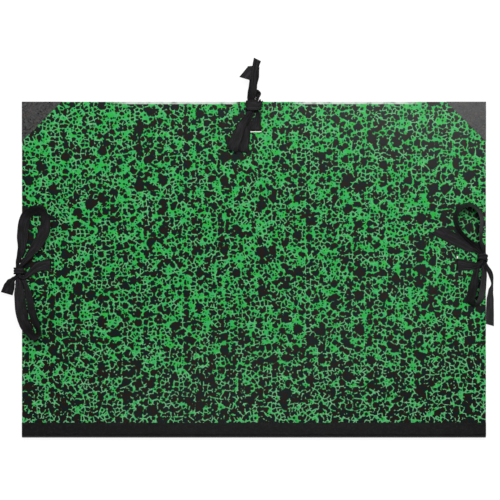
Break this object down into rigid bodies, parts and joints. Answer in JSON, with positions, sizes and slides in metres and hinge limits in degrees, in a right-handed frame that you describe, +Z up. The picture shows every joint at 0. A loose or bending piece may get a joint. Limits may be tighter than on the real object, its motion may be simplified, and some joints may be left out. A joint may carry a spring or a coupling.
{
  "type": "drawing portfolio",
  "caption": "Flat drawing portfolio: two marbled-paper boards with a cloth spine and corners, tied shut with ribbon bows.",
  "frame": {"origin": "under the middle of the back board, in the plane that the portfolio lies on", "axes": "+X along the spine to the right, +Y from the spine to the opening edge, +Z up out of the front cover"},
  "size_m": [0.7688, 0.5898, 0.0311],
  "materials": {
    "marbled_paper": "glossy marbled paper, green with black",
    "book_cloth": "black leather-grained book cloth",
    "lining_paper": "plain uncoated paper",
    "grey_board": "solid grey bookbinding board",
    "ribbon": "black woven tape"
  },
  "bodies": {
    "back_cover": {"back_board": "grey_board", "back_cover_paper": "marbled_paper", "back_left_corner": "book_cloth", "back_right_corner": "book_cloth", "back_lining": "lining_paper", "spine_cloth": "book_cloth", "spine_lining": "book_cloth", "back_right_ribbon": "ribbon", "back_left_ribbon": "ribbon", "back_top_ribbon": "ribbon"},
    "front_cover": {"front_board": "grey_board", "front_cover_paper": "marbled_paper", "front_left_corner": "book_cloth", "front_right_corner": "book_cloth", "front_lining": "lining_paper", "front_right_ribbon": "ribbon", "front_left_ribbon": "ribbon", "front_top_ribbon": "ribbon"}
  },
  "joints": [
    {"name": "cover_hinge", "type": "hinge", "parent": "back_cover", "child": "front_cover", "pos_m": [0, -0.264, 0.00637], "axis": [1, 0, 0], "range_deg": [0, 180], "deforming": ["spine_cloth", "spine_lining"]}
  ]
}
